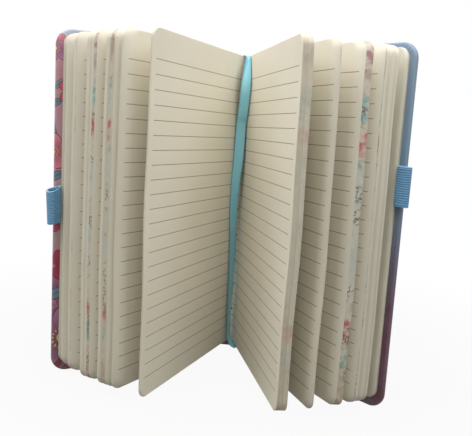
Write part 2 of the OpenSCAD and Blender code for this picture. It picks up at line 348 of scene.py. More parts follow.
def mixed(tree, factor, below, above, blend="MIX"):
    """Two colours mixed by a factor."""
    made = tree.nodes.new("ShaderNodeMix")
    made.data_type = "RGBA"
    made.blend_type = blend
    for socket, value in ((0, factor), (6, below), (7, above)):
        put(tree, made.inputs[socket], value)
    return made.outputs[2]


def colour_steps(tree, value, steps, interpolation="LINEAR"):
    """A colour for each value from 0 to 1, from a list of places and screen colours."""
    made = tree.nodes.new("ShaderNodeValToRGB")
    ramp = made.color_ramp
    ramp.interpolation = interpolation
    while len(ramp.elements) < len(steps):
        ramp.elements.new(0.5)
    for element, (place, tint) in zip(ramp.elements, steps):
        element.position = place
        element.color = linear(*tint)
    put(tree, made.inputs[0], value)
    return made.outputs[0]


def bump(tree, height, distance, strength=1.0):
    """A normal from a height that changes over the surface."""
    made = tree.nodes.new("ShaderNodeBump")
    made.inputs["Strength"].default_value = strength
    made.inputs["Distance"].default_value = distance
    put(tree, made.inputs["Height"], height)
    return made.outputs[0]


def fibre_group():
    """Paper fibre: a fine felt for the height and slow, cloudy patches for the tone."""
    group = bpy.data.node_groups.new("paper_fibre", "ShaderNodeTree")
    group.interface.new_socket("Scale", in_out="INPUT", socket_type="NodeSocketFloat")
    group.interface.new_socket("Cloud", in_out="OUTPUT", socket_type="NodeSocketFloat")
    group.interface.new_socket("Felt", in_out="OUTPUT", socket_type="NodeSocketFloat")
    inside, outside = group.nodes.new("NodeGroupInput"), group.nodes.new("NodeGroupOutput")
    place = object_place(group)
    scaled = group.nodes.new("ShaderNodeVectorMath")
    scaled.operation = "SCALE"
    put(group, scaled.inputs[0], place)
    put(group, scaled.inputs["Scale"], inside.outputs[0])
    cloud = add(group, "TexNoise", scaled.outputs[0], None, 22.0, 3.0, 0.55)
    felt = add(group, "TexNoise", scaled.outputs[0], None, 1500.0, 4.0, 0.6)
    put(group, outside.inputs["Cloud"], cloud)
    put(group, outside.inputs["Felt"], felt)
    return group


def placed(tree, group, *values):
    """Places a node group with its values and hands back its node."""
    made = tree.nodes.new("ShaderNodeGroup")
    made.node_tree = group
    for socket, value in zip(made.inputs, values):
        put(tree, socket, value)
    return made


paper_fibre = fibre_group()


def ruled_paper(name, printed):
    """Cream paper with ruled lines: a line wherever the height above the first one is a whole
    number of pitches, from the margin inwards. A printed leaf has the fore-edge's print at
    its very edge: colours by height, and dark outlines along the borders between cells."""
    material, tree, shader = new_material(name)
    place = add(tree, "SeparateXYZ", own_map(tree))
    inwards, height = place.node.outputs[0], place.node.outputs[1]
    fibre = placed(tree, paper_fibre, 1.0)
    paper = mixed(tree, fibre.outputs["Cloud"], linear(*paper_tint), linear(*paper_shade))
    above = minus(tree, height, rule_first + rule_pitch / 2)
    phase = maths(tree, "FRACT", over(tree, above, rule_pitch))
    off = maths(tree, "ABSOLUTE", minus(tree, phase, 0.5))
    line = ranged(tree, off, 0.35 * rule_t / rule_pitch, 0.75 * rule_t / rule_pitch, 1.0, 0.0)
    for value, low, high in ((inwards, rule_margin, rule_margin + 0.1 * mm),
            (height, rule_first - 1 * mm, rule_first - 0.9 * mm)):
        line = times(tree, line, ranged(tree, value, low, high, 0.0, 1.0))
    top = ranged(tree, height, rule_last, rule_last + 0.1 * mm, 1.0, 0.0)
    line = times(tree, times(tree, line, top), 0.85)
    colour = mixed(tree, line, paper, linear(*rule_ink))
    if printed:
        spot = object_place(tree)
        warped = add(tree, "TexNoise", spot, None, 160.0, 2.0, 0.5)
        shift = times(tree, minus(tree, warped, 0.5), 0.06)
        band = plus(tree, over(tree, height, head_z - foot_z), shift)
        faded = ranged(tree, add(tree, "TexNoise", spot, None, 260.0, 2.0, 0.5), 0.4, 0.58, 0.2,
            1.0)
        ink = mixed(tree, faded, linear(*plain_edge), colour_steps(tree, band, edge_print))
        cells = tree.nodes.new("ShaderNodeTexVoronoi")
        cells.feature = "DISTANCE_TO_EDGE"
        bent = add(tree, "TexNoise", spot, None, 300.0, 2.0, 0.6).node.outputs[1]
        bent = add(tree, "VectorMath", bent, (7 * mm, 7 * mm, 12 * mm), operation="MULTIPLY")
        put(tree, cells.inputs["Vector"], add(tree, "VectorMath", spot, bent, operation="ADD"))
        cells.inputs["Scale"].default_value = 170.0
        outline = ranged(tree, cells.outputs["Distance"], 0.02, 0.07, 1.0, 0.0)
        patch = add(tree, "TexNoise", spot, None, 90.0, 1.0, 0.5)
        outline = times(tree, outline, ranged(tree, patch, 0.5, 0.6, 0.0, 0.85))
        ink = mixed(tree, outline, ink, linear(*edge_outline))
        strength = tree.nodes.new("ShaderNodeAttribute")
        strength.attribute_name = "print_strength"
        edge = times(tree, ranged(tree, inwards, bleed, bleed * 1.8, 0.9, 0.0),
            strength.outputs["Fac"])
        colour = mixed(tree, edge, colour, ink)
    put(tree, shader.inputs["Base Color"], colour)
    shader.inputs["Roughness"].default_value = 0.82
    shader.inputs["Specular IOR Level"].default_value = 0.25
    put(tree, shader.inputs["Normal"], bump(tree, fibre.outputs["Felt"], 0.02 * mm, 0.5))
    return material


ruled, edge_printed = ruled_paper("ruled_paper", False), ruled_paper("edge_printed_paper", True)
leaf_z, leaf_cut = corner_heights(page_corner, foot_z, head_z, 9)
leaf_steps = np.concatenate((np.linspace(0, 0.16, 8), np.linspace(0.2, 1, 10)))


def fan_of_leaves(fan, side, printed):
    """The leaves of one side but the innermost, with or without print: each leaf lies one leaf
    further from the bend's centre and is turned by its share between its group's angles.
    Hands back their mesh and how strongly the print shows at each point."""
    parts, strengths = [], []
    done = 0
    for count, first, last, shows in fan:
        for n in range(count):
            done += 1
            if (shows > 0) != printed or done == sum(group[0] for group in fan):
                continue
            radius = first_radius + (done - 0.5) * leaf_t
            turned = math.radians(first + (last - first) * n / max(count - 1, 1))
            s = leaf_steps[None] * (page_w - leaf_cut)[:, None]
            x, y, across_x, across_y = leaf_plan(s, radius, turned)
            z = np.broadcast_to(leaf_z[:, None], s.shape)
            shift = waves(s, z, turned)
            points = np.stack(((x + shift * across_x) * side, y + shift * across_y, z), -1)
            uv = np.stack(((page_w - leaf_cut)[:, None] - s, z - foot_z), -1)
            parts.append(sheet_solid(points, uv, leaf_body))
            strengths.append(np.full(len(parts[-1][0]), shows, dtype=np.float32))
    return joined(parts), np.concatenate(strengths)


for name, fan, side, printed, paper in (("front_leaves", front_fan, 1, False, ruled),
        ("front_printed_leaves", front_fan, 1, True, edge_printed),
        ("back_leaves", back_fan, -1, False, ruled),
        ("back_printed_leaves", back_fan, -1, True, edge_printed)):
    (points, faces, uv, flat), strengths = fan_of_leaves(fan, side, printed)
    leaves = build(name, points, faces, uv, paper, flat)
    shown = leaves.data.attributes.new("print_strength", "FLOAT", "POINT")
    shown.data.foreach_set("value", strengths)
    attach(leaves, "block")
    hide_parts("text_block")


# Open spread. The innermost sheet of the middle section lies across the fold: it comes up the
# front page's bend, dips through the round valley over the stitches and goes down the back
# page. Its fold carries a dark spot of painted shade at each sewing station, where a hole would be.
valley_y = -4.25 * mm
valley_radius = 2 * mm
spread_radius = 16.24 * mm
hole_first, hole_last, hole_pitch, hole_r = 21 * mm, 173 * mm, 16 * mm, 0.55 * mm
spread_lift = 0.06 * mm


def half_spread_plan(angle):
    """Plan of half the sheet from the fold outwards: the valley's arc, the page's bend and the
    straight page, as points about a millimetre apart, smoothed where they meet."""
    valley = np.radians(np.linspace(90, 135, 7))
    arc = np.stack((valley_radius * np.cos(valley),
        valley_y - valley_radius + valley_radius * np.sin(valley)), -1)
    s = np.linspace(0.17 * spread_radius, page_w, 110)
    x, y, _, _ = leaf_plan(s, spread_radius, math.radians(angle))
    path = np.concatenate((arc, np.stack((x, y), -1)))
    for _ in range(12):
        path[1:14] = path[1:14] / 2 + (path[:13] + path[2:15]) / 4
    return path


def open_spread(material):
    """The sheet as one grid, from the front page's fore-edge to the back page's."""
    z, cut = corner_heights(page_corner, foot_z, head_z, 48)
    step = np.concatenate((np.linspace(0, 0.07, 13), np.linspace(0.08, 1, 44)))
    halves = []
    for fan, side in ((front_fan, 1), (back_fan, -1)):
        path = half_spread_plan(fan[-1][2]) * (side, 1)
        run = run_along(path)
        s = step[None] * (run[-1] - cut)[:, None]
        x, y = np.interp(s, run, path[:, 0]), np.interp(s, run, path[:, 1])
        high = np.broadcast_to(z[:, None], s.shape)
        angle = math.radians(fan[-1][2])
        shift = waves(s, high, angle)
        x = x + shift * math.cos(angle) * side
        y = y - shift * math.sin(angle) - spread_lift
        points = np.stack((x, y, high), -1)
        uv = np.stack(((run[-1] - cut)[:, None] - s, high - foot_z), -1)
        halves.append((points, uv))
    points = np.concatenate((halves[0][0][:, ::-1], halves[1][0][:, 1:]), axis=1)
    uv = np.concatenate((halves[0][1][:, ::-1], halves[1][1][:, 1:]), axis=1)
    points, faces, uv, flat = sheet_solid(points, uv, leaf_body)
    return build("open_spread", points, faces, uv, material, flat)


def pierced_paper():
    """The ruled paper again, with a dark spot of painted shade for a hole at each sewing station of
    the fold.
    """
    material = ruled.copy()
    material.name = "pierced_paper"
    tree = material.node_tree
    shader = tree.nodes["Principled BSDF"]
    paper = shader.inputs["Base Color"].links[0].from_socket
    place = add(tree, "SeparateXYZ", object_place(tree))
    sideways, height = place.node.outputs[0], place.node.outputs[2]
    phase = maths(tree, "MODULO", minus(tree, height, foot_z + hole_first - hole_pitch / 2),
        hole_pitch)
    off = minus(tree, phase, hole_pitch / 2)
    spot = add(tree, "VectorMath", add(tree, "CombineXYZ", sideways, 0.0, off),
        operation="LENGTH").node.outputs["Value"]
    hole_shade = ranged(tree, spot, hole_r * 0.8, hole_r * 1.15, 1.0, 0.0)
    for low, high, start, end in ((hole_first - 4 * mm, hole_first - 3.9 * mm, 0.0, 1.0),
            (hole_last, hole_last + 0.1 * mm, 1.0, 0.0)):
        hole_shade = times(tree, hole_shade, ranged(tree, height, low, high, start, end))
    # Painted shade: a dark brown spot stands in for the shaded inside of each sewing hole.
    put(tree, shader.inputs["Base Color"], mixed(tree, hole_shade, paper, linear(52, 40, 30)))
    return material


spread = open_spread(pierced_paper())
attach(spread, "block")
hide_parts("text_block")


# Folded backs. The folds of the seven sewn sections stand side by side along the spine, each
# rounded by its fold, and the leaves grow out of their front.
sections = 7
core_half = 9.0 * mm
fold_y = -1.75 * mm


def folded_backs(material):
    """A prism whose back is one round arc for each section and whose front follows the valley."""
    pitch = 2 * core_half / sections
    arcs = []
    for n in range(sections):
        turn = np.radians(np.linspace(8, 172, 9))
        arcs.append(np.stack((core_half - (n + 0.5) * pitch + pitch / 2 * np.cos(turn),
            fold_y - pitch / 2 + pitch / 2 * np.sin(turn)), -1))
    valley = np.radians(np.linspace(150, 30, 9))
    front = np.stack((valley_radius * np.cos(valley),
        valley_y - valley_radius + valley_radius * np.sin(valley)), -1)
    front[:, 1] += 0.12 * mm
    ends = np.array(((-core_half, root_y - 0.1 * mm), (-2.0 * mm, root_y - 0.1 * mm)))
    outline = np.concatenate((*arcs, ends, front, ends[::-1] * (-1, 1)))
    z = np.array((foot_z, head_z))
    count = len(outline)
    points = np.concatenate([np.column_stack((outline, np.full(count, h))) for h in z])
    faces = list(grid_faces(2, count, closed=True)) + [range(count), range(count, 2 * count)]
    uv = np.column_stack((np.full(2 * count, 2 * rule_margin), np.full(2 * count, 1 * mm)))
    flat = np.arange(len(faces)) >= count
    return build("folded_backs", points, faces, uv, material, flat)


fold_paper, tree, shader = new_material("fold_paper")
fibre = placed(tree, paper_fibre, 1.0)
stack = times(tree, add(tree, "SeparateXYZ", object_place(tree)), 2 * math.pi / (0.4 * mm))
# Painted shade: a darker brown line every 0.4 mm, in the crevices between the stacked folds.
stripe = ranged(tree, maths(tree, "SINE", stack), -1.0, 1.0, 0.0, 0.35)
tone = mixed(tree, fibre.outputs["Cloud"], linear(*paper_tint), linear(*paper_shade))
put(tree, shader.inputs["Base Color"], mixed(tree, stripe, tone, linear(150, 138, 112)))
shader.inputs["Roughness"].default_value = 0.85
shader.inputs["Specular IOR Level"].default_value = 0.2
put(tree, shader.inputs["Normal"], bump(tree, stripe, 0.05 * mm))
backs = folded_backs(fold_paper)
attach(backs, "block")
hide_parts("text_block")


# Endpapers. Each is one folded sheet of slightly heavier plain paper: the free flyleaf follows
# the bend and lies along the cover, cockled by the damp of the paste, and the other half is
# glued down over the cover's turn-ins.
endpaper_t = 0.15 * mm
fly_radius = 9.166 * mm
cover_angle = math.radians(51)
cockle = {1: 0.35 * mm, -1: 0.8 * mm}
endpaper_tint, endpaper_shade = (230, 226, 210), (216, 211, 192)


def endpaper_material():
    """Plain paper: cloudy tone, a few faint stains and long soft ripples from the paste."""
    material, tree, shader = new_material("endpaper")
    fibre = placed(tree, paper_fibre, 1.0)
    tone = mixed(tree, fibre.outputs["Cloud"], linear(*endpaper_tint), linear(*endpaper_shade))
    place = object_place(tree)
    stain = add(tree, "TexNoise", place, None, 38.0, 5.0, 0.65)
    patch = ranged(tree, stain, 0.58, 0.74, 0.0, 0.22)
    put(tree, shader.inputs["Base Color"], mixed(tree, patch, tone, linear(186, 188, 160)))
    shader.inputs["Roughness"].default_value = 0.85
    shader.inputs["Specular IOR Level"].default_value = 0.2
    ripple = add(tree, "TexNoise", place, None, 55.0, 1.0, 0.4)
    height = times(tree, fibre.outputs["Felt"], 0.05)
    height = plus(tree, height, ripple)
    put(tree, shader.inputs["Normal"], bump(tree, height, 0.6 * mm, 0.55))
    return material


def flyleaf(name, side, material):
    """The bent sheet, lifted off the cover by ripples that grow towards its fore-edge."""
    z, cut = corner_heights(page_corner, foot_z, head_z, 60)
    step = np.concatenate((np.linspace(0, 0.09, 10), np.linspace(0.11, 1, 36)))
    s = step[None] * (page_w - cut)[:, None]
    x, y, across_x, across_y = leaf_plan(s, fly_radius, cover_angle)
    high = np.broadcast_to(z[:, None], s.shape)
    ripple = 1.1 + np.sin(high / (6.8 * mm) + s / (19 * mm)) + 0.6 * np.sin(high / (3.1 * mm) + 1.0)
    slow = 1.0 + np.sin(high / (24 * mm) + 2.0)
    shift = cockle[side] * (s / page_w) ** 3 * (0.16 * ripple + 0.3 * slow)
    points = np.stack(((x + shift * across_x) * side, y + shift * across_y, high), -1)
    uv = np.stack((s, high), -1)
    points, faces, uv, flat = sheet_solid(points, uv, endpaper_t)
    return build(name, points, faces, uv, material, flat)


endpaper = endpaper_material()
for name, side in (("front_free_leaf", 1), ("back_free_leaf", -1)):
    leaf = flyleaf(name, side, endpaper)
    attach(leaf, "block")
    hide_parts("front_flyleaf" if side == 1 else "back_flyleaf")

for node in ("front_pastedown", "back_pastedown"):
    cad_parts[node].data.materials.clear()
    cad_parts[node].data.materials.append(endpaper)


# Sewing. Waxed linen thread runs along the fold from one hole to the next, in long stitches
# that dive through the paper at both ends.
stitches = 5
thread_r, thread_depth, thread_dive = 0.2 * mm, 0.32 * mm, 0.75 * mm


def tube(path, radius, sides):
    """A round tube: at each point of the path a ring lies across the way it runs. The rings
    close with a point at both ends."""
    path = np.asarray(path, float)
    way = np.gradient(path, axis=0)
    way /= np.linalg.norm(way, axis=1, keepdims=True)
    first = np.cross(way, (1.0, 0.0, 0.0))
    first /= np.linalg.norm(first, axis=1, keepdims=True)
    second = np.cross(way, first)
    turn = np.linspace(0, 2 * np.pi, sides, endpoint=False)
    around = turn[None, :, None]
    ring = np.cos(around) * first[:, None] + np.sin(around) * second[:, None]
    points = (path[:, None] + radius * ring).reshape(-1, 3)
    rows = len(path)
    run = run_along(path)
    uv = np.stack((np.broadcast_to(turn / (2 * np.pi), (rows, sides)),
        np.broadcast_to(run[:, None], (rows, sides))), -1).reshape(-1, 2)
    return points, capped_faces(rows, sides), uv


thread_mat, tree, shader = new_material("linen_thread")
place = add(tree, "SeparateXYZ", own_map(tree))
twist = plus(tree, times(tree, place.node.outputs[0], 2 * math.pi),
    times(tree, place.node.outputs[1], 2 * math.pi / (0.9 * mm)))
strand = ranged(tree, maths(tree, "SINE", twist), -1.0, 1.0, 0.0, 1.0)
# Painted shade: the thread is darker in the grooves of its twist and paler on the strands.
put(tree, shader.inputs["Base Color"],
    mixed(tree, strand, linear(178, 168, 142), linear(232, 226, 208)))
shader.inputs["Roughness"].default_value = 0.6
put(tree, shader.inputs["Normal"], bump(tree, strand, 0.08 * mm))

points, faces, uv = [], [], []
for n in range(stitches):
    low = foot_z + hole_first + 2 * n * hole_pitch
    high = low + hole_pitch
    up = np.linspace(0, 1, 17)
    z = low + (high - low) * up
    dive = np.maximum(1 - np.minimum(z - low, high - z) / (1.1 * mm), 0) ** 2
    y = valley_y - thread_depth + thread_dive * dive
    one = tube(np.column_stack((np.zeros(17), y, z)), thread_r, 8)
    start = sum(len(part) for part in points)
    points.append(one[0])
    uv.append(one[2])
    faces += [[start + corner for corner in face] for face in one[1]]
thread = build("thread_stitches", np.concatenate(points), faces, np.concatenate(uv), thread_mat)
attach(thread, "block")
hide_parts("sewing_thread")


# Lining and card. An open-weave cloth strip is glued to the backs of the folds. The spine's
# stiffener and the two boards are grey card, cut square and hidden in the wrap.
def woven(tree, pitch):
    """Height of a plain weave: threads that pass over and under in turn, from two sines."""
    place = add(tree, "SeparateXYZ", object_place(tree))
    waves_of = [maths(tree, "SINE", times(tree, place.node.outputs[axis], math.pi / pitch))
        for axis in (0, 2)]
    crossing = times(tree, *waves_of)
    return ranged(tree, crossing, -1.0, 1.0, 0.0, 1.0)


lining_mat, tree, shader = new_material("lining_cloth")
weave = woven(tree, 0.8 * mm)
# Painted shade: the cloth is darker where the weave's height is low, paler on the raised threads.
put(tree, shader.inputs["Base Color"],
    mixed(tree, weave, linear(196, 190, 174), linear(240, 237, 228)))
shader.inputs["Roughness"].default_value = 0.9
put(tree, shader.inputs["Normal"], bump(tree, weave, 0.12 * mm))

card_mat, tree, shader = new_material("grey_card")
fibre = placed(tree, paper_fibre, 0.6)
put(tree, shader.inputs["Base Color"],
    mixed(tree, fibre.outputs["Felt"], linear(150, 140, 120), linear(182, 172, 150)))
shader.inputs["Roughness"].default_value = 0.9
put(tree, shader.inputs["Normal"], bump(tree, fibre.outputs["Felt"], 0.06 * mm))

for node, material in (("spine_lining", lining_mat), ("spine_stiffener", card_mat),
        ("front_board", card_mat), ("back_board", card_mat)):
    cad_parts[node].data.materials.clear()
    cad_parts[node].data.materials.append(material)


# Printed wrap. One sheet of coated paper-cloth goes round both boards and the spine, and its
# margins are turned in over the boards' edges, gathered into small pleats at the round corners.
# Its print is a loose garden of five-petalled blossoms and slim leaves on a ground that runs
# from blue-grey at the head to wine red at the foot, and that turns rose at the front's
# fore-edge. The wrap's pieces share one flat map: across from the spine's middle, up from
# the foot.
hinge_x, hinge_y = 10.425 * mm, -4.75 * mm
cover_reach, cover_h = 104.1 * mm, 185.5 * mm
joint_w = 5 * mm
outer_v, turn_v = -0.175 * mm, 2.525 * mm
wrap_t = 0.35 * mm
cover_corner = 8.5 * mm
spine_half, spine_h, spine_half_t = 9.275 * mm, 183.3 * mm, 0.95 * mm
hinge_run = 14.4 * mm
ground = [(0.00, (76, 28, 42)), (0.14, (92, 42, 56)), (0.28, (90, 56, 72)),
    (0.42, (94, 92, 108)), (0.60, (108, 136, 156)), (0.80, (118, 148, 168)),
    (1.00, (120, 148, 170))]
front_edge_ground = [(0.00, (116, 34, 48)), (0.08, (112, 46, 62)), (0.18, (160, 88, 102)),
    (0.25, (112, 76, 106)), (0.33, (174, 110, 122)), (0.45, (180, 162, 164)),
    (0.70, (182, 138, 150)), (0.88, (188, 136, 146)), (1.00, (180, 182, 196))]
petal_tints = [(0.0, (204, 82, 110)), (0.28, (214, 128, 144)), (0.55, (190, 134, 166)),
    (0.8, (172, 48, 82))]
leaf_tints = [(0.0, (96, 124, 138)), (0.4, (128, 108, 132)), (0.7, (110, 140, 146))]
print_outline, heart_gold = (92, 22, 46), (222, 178, 96)
leaf_cells, small_cells, large_cells = 16 * mm, 23 * mm, 40 * mm


def shape_group(name, outputs, fill):
    """A node group for one printed shape: a place on the wrap comes in, and masks go out."""
    group = bpy.data.node_groups.new(name, "ShaderNodeTree")
    inputs = (("Place", "Vector"), ("Centre", "Vector"), ("Size", "Float"), ("Turn", "Float"))
    for label, kind in inputs:
        group.interface.new_socket(label, in_out="INPUT", socket_type="NodeSocket" + kind)
    for label in outputs:
        group.interface.new_socket(label, in_out="OUTPUT", socket_type="NodeSocketFloat")
    inside, outside = group.nodes.new("NodeGroupInput"), group.nodes.new("NodeGroupOutput")
    away = add(group, "VectorMath", inside.outputs["Place"], inside.outputs["Centre"],
        operation="SUBTRACT")
    masks = fill(group, away, inside.outputs["Size"], inside.outputs["Turn"])
    for label, value in zip(outputs, masks):
        put(group, outside.inputs[label], value)
    return group


def blossom(group, away, size, turn):
    """Five round petals: their outline lies at a share of the size that swings with the cosine
    of five halves of the angle. A thin line follows the outline and runs down between the
    petals, and a ring of dots stands round the heart."""
    length = add(group, "VectorMath", away, operation="LENGTH").node.outputs["Value"]
    far = over(group, length, size)
    part = add(group, "SeparateXYZ", away)
    angle = maths(group, "ARCTAN2", part.node.outputs[1], part)
    angle = plus(group, angle, turn)
    swing = maths(group, "COSINE", times(group, angle, 2.5))
    swing = maths(group, "POWER", maths(group, "ABSOLUTE", swing), 0.7)
    rim = ranged(group, swing, 0.0, 1.0, 0.58, 1.0)
    inside_by = minus(group, rim, far)
    petal = ranged(group, inside_by, 0.0, 0.015, 0.0, 1.0)
    line = ranged(group, maths(group, "ABSOLUTE", inside_by), 0.018, 0.034, 1.0, 0.0)
    seam = times(group, ranged(group, swing, 0.05, 0.16, 0.8, 0.0), petal)
    line = maths(group, "MAXIMUM", line, seam)
    heart = ranged(group, far, 0.13, 0.16, 1.0, 0.0)
    dots = maths(group, "COSINE", times(group, angle, 15.0))
    ring = ranged(group, maths(group, "ABSOLUTE", minus(group, far, 0.27)), 0.02, 0.05, 1.0, 0.0)
    dots = times(group, ranged(group, dots, 0.2, 0.5, 0.0, 1.0), ring)
    heart = maths(group, "MAXIMUM", heart, dots)
    shade = ranged(group, far, 0.1, 0.9, 1.0, 0.0)
    return petal, line, heart, shade


def sprig(group, away, size, turn):
    """A slim leaf: in its own turned frame its half width falls off as one less the square of
    the distance along it. A line follows its outline and its middle."""
    about = group.nodes.new("ShaderNodeVectorRotate")
    about.rotation_type = "Z_AXIS"
    put(group, about.inputs["Vector"], away)
    put(group, about.inputs["Angle"], turn)
    turned = add(group, "SeparateXYZ", about.outputs[0])
    along = over(group, turned.node.outputs[0], size)
    across = maths(group, "ABSOLUTE", over(group, turned.node.outputs[1], size))
    half = minus(group, 1.0, times(group, along, along))
    half = times(group, half, 0.34)
    inside_by = minus(group, half, across)
    blade = ranged(group, inside_by, 0.0, 0.02, 0.0, 1.0)
    outline = ranged(group, maths(group, "ABSOLUTE", inside_by), 0.016, 0.032, 1.0, 0.0)
    middle = times(group, ranged(group, across, 0.012, 0.03, 1.0, 0.0), blade)
    return blade, maths(group, "MAXIMUM", outline, middle)


def scattered(tree, place, cell, group, offset):
    """One shape for each cell of a loose pattern: its centre, its turn and its tint come from
    the cell, and it is as large as its nearest neighbour allows."""
    shifted = add(tree, "VectorMath", place, offset, operation="ADD")
    found = []
    for feature in ("F1", "N_SPHERE_RADIUS"):
        cells = tree.nodes.new("ShaderNodeTexVoronoi")
        cells.voronoi_dimensions = "2D"
        cells.feature = feature
        put(tree, cells.inputs["Vector"], shifted)
        cells.inputs["Scale"].default_value = 1 / cell
        cells.inputs["Randomness"].default_value = 0.75
        found.append(cells)
    chance = add(tree, "SeparateXYZ", found[0].outputs["Color"])
    size = times(tree, found[1].outputs["Radius"], cell * 1.02)
    turn = times(tree, chance.node.outputs[1], 2 * math.pi)
    shape = placed(tree, group, shifted, found[0].outputs["Position"], size, turn)
    return shape, chance.node.outputs[2]


def wrap_material():
    """The print, a fine linen emboss under a soft coating, and specks of light wear, where the
    ink has broken a little. The flowers end before the back cover's fore-edge."""
    material, tree, shader = new_material("printed_wrap")
    uv = own_map(tree)
    wobble = add(tree, "TexNoise", uv, None, 60.0, 2.0, 0.5).node.outputs[1]
    wobble = add(tree, "VectorMath", wobble, (0.5, 0.5, 0.5), operation="SUBTRACT")
    place = add(tree, "VectorMath", wobble, (5 * mm, 5 * mm, 0), operation="MULTIPLY")
    place = add(tree, "VectorMath", uv, place, operation="ADD")
    part = add(tree, "SeparateXYZ", place)
    height = over(tree, part.node.outputs[1], cover_h)
    colour = colour_steps(tree, height, ground)
    wash = add(tree, "TexNoise", uv, None, 26.0, 4.0, 0.6)
    colour = mixed(tree, ranged(tree, wash, 0.42, 0.66, 0.0, 0.3), colour, linear(146, 138, 158))
    front_side = ranged(tree, part, -0.1, -0.113, 0.0, 1.0)
    colour = mixed(tree, front_side, colour, colour_steps(tree, height, front_edge_ground))
    flowering = ranged(tree, part, 0.088, 0.104, 1.0, 0.0)
    leaf_shape = shape_group("printed_leaf", ("Blade", "Line"), sprig)
    leaf, chance = scattered(tree, place, leaf_cells, leaf_shape, (0.3, 0.1, 0))
    strength = times(tree, leaf.outputs["Blade"], flowering)
    colour = mixed(tree, strength, colour, colour_steps(tree, chance, leaf_tints, "CONSTANT"))
    strength = times(tree, leaf.outputs["Line"], flowering)
    colour = mixed(tree, strength, colour, linear(*print_outline))
    flower_shape = shape_group("printed_blossom", ("Petal", "Line", "Heart", "Shade"), blossom)
    lower = ranged(tree, height, 0.05, 0.5, 0.62, 1.0)
    for cell, offset in ((small_cells, (0.711, 0.424, 0)), (large_cells, (0.268, 0.517, 0))):
        flower, chance = scattered(tree, place, cell, flower_shape, offset)
        tint = colour_steps(tree, chance, petal_tints, "CONSTANT")
        deep = mixed(tree, 1.0, tint, (0.42, 0.34, 0.4, 1.0), blend="MULTIPLY")
        petals = mixed(tree, flower.outputs["Shade"], tint, deep)
        shaded = mixed(tree, 1.0, petals, lower, blend="MULTIPLY")
        for mask, tint in (("Petal", shaded), ("Line", linear(*print_outline)),
                ("Heart", linear(*heart_gold))):
            strength = times(tree, flower.outputs[mask], flowering)
            colour = mixed(tree, strength, colour, tint)
    grain = add(tree, "TexNoise", uv, None, 900.0, 3.0, 0.7)
    worn = ranged(tree, grain, 0.62, 0.8, 0.0, 0.18)
    put(tree, shader.inputs["Base Color"], mixed(tree, worn, colour, linear(200, 190, 196)))
    put(tree, shader.inputs["Roughness"], ranged(tree, grain, 0.3, 0.7, 0.42, 0.56))
    shader.inputs["Coat Weight"].default_value = 0.12
    shader.inputs["Coat Roughness"].default_value = 0.35
    flat = add(tree, "SeparateXYZ", uv)
    threads = [maths(tree, "SINE", times(tree, flat.node.outputs[axis], 2 * math.pi / (0.42 * mm)))
        for axis in (0, 1)]
    linen = times(tree, plus(tree, *threads), 0.25)
    relief = plus(tree, linen, grain)
    put(tree, shader.inputs["Normal"], bump(tree, relief, 0.05 * mm, 0.6))
    return material


def in_cover(u, v, z, side):
    """A place in a cover's own frame (u from the hinge line, v towards the pages) in the
    notebook's frame."""
    turn = -math.pi / 2 - cover_angle
    x = -hinge_x + u * math.cos(turn) - v * math.sin(turn)
    y = hinge_y + u * math.sin(turn) + v * math.cos(turn)
    return np.stack(np.broadcast_arrays(x * side, y, z), -1)


def cover_outline():
    """The board's outline as points and outward directions: straight runs and quarter circles,
    anticlockwise from the foot's hinge end."""
    back_corner = 0.9 * mm
    places = []
    for cu, cz, radius, start, count in (
            (joint_w + back_corner, back_corner, back_corner, 180, 5),
            (cover_reach - cover_corner, cover_corner, cover_corner, 270, 33),
            (cover_reach - cover_corner, cover_h - cover_corner, cover_corner, 0, 33),
            (joint_w + back_corner, cover_h - back_corner, back_corner, 90, 5)):
        turn = np.radians(start + np.linspace(0, 90, count))
        away = np.stack((np.cos(turn), np.sin(turn)), -1)
        places.append((np.array((cu, cz)) + radius * away, away, np.full(count, radius)))
    runs = (24, 44, 24, 12)
    points, away, bend = [], [], []
    for n, (place, direction, radius) in enumerate(places):
        points.append(place)
        away.append(direction)
        bend.append(radius)
        after = places[(n + 1) % 4]
        share = np.linspace(0, 1, runs[n])[1:-1, None]
        points.append(place[-1] * (1 - share) + after[0][0] * share)
        away.append(np.repeat(direction[-1][None], len(share), 0))
        bend.append(np.zeros(len(share)))
    return np.concatenate(points), np.concatenate(away), np.concatenate(bend)


